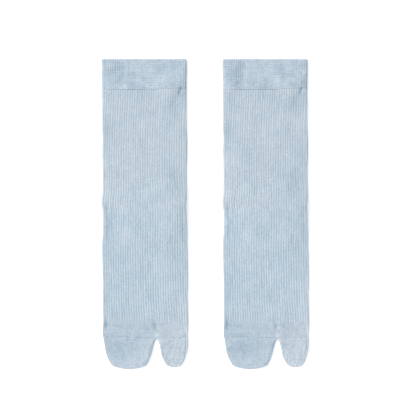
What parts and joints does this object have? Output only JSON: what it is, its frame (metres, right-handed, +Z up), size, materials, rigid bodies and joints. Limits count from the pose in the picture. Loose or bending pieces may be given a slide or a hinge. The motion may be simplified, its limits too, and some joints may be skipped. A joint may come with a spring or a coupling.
{
  "type": "pair of split-toe ankle socks",
  "caption": "Pair of ribbed split-toe socks laid flat side by side, fronts up, each with a plain turned welt, folded heel pocket and separate big-toe pocket.",
  "frame": {"origin": "on the table, under the middle of the pair's overall box", "axes": "+Z up from the table through the cloth, +Y along both socks from the toes to the cuffs, +X from sock 1 to sock 2, towards the side of each sock that its big toe is on"},
  "size_m": [0.2144, 0.32, 0.0063],
  "materials": {
    "welt_knit": "fine plain knit in pale blue cotton, double, matt",
    "rib_knit": "fine 1x1 rib knit in pale blue cotton, matt, slightly hairy",
    "plain_knit": "fine plain knit in pale blue cotton, matt, slightly hairy"
  },
  "bodies": {
    "root": {"sock1_cuff": "welt_knit", "sock1_leg_and_foot": "rib_knit", "sock1_heel": "plain_knit", "sock1_forefoot": "plain_knit", "sock1_four_toes": "plain_knit", "sock1_big_toe": "plain_knit", "sock2_cuff": "welt_knit", "sock2_leg_and_foot": "rib_knit", "sock2_heel": "plain_knit", "sock2_forefoot": "plain_knit", "sock2_four_toes": "plain_knit", "sock2_big_toe": "plain_knit"}
  },
  "joints": []
}
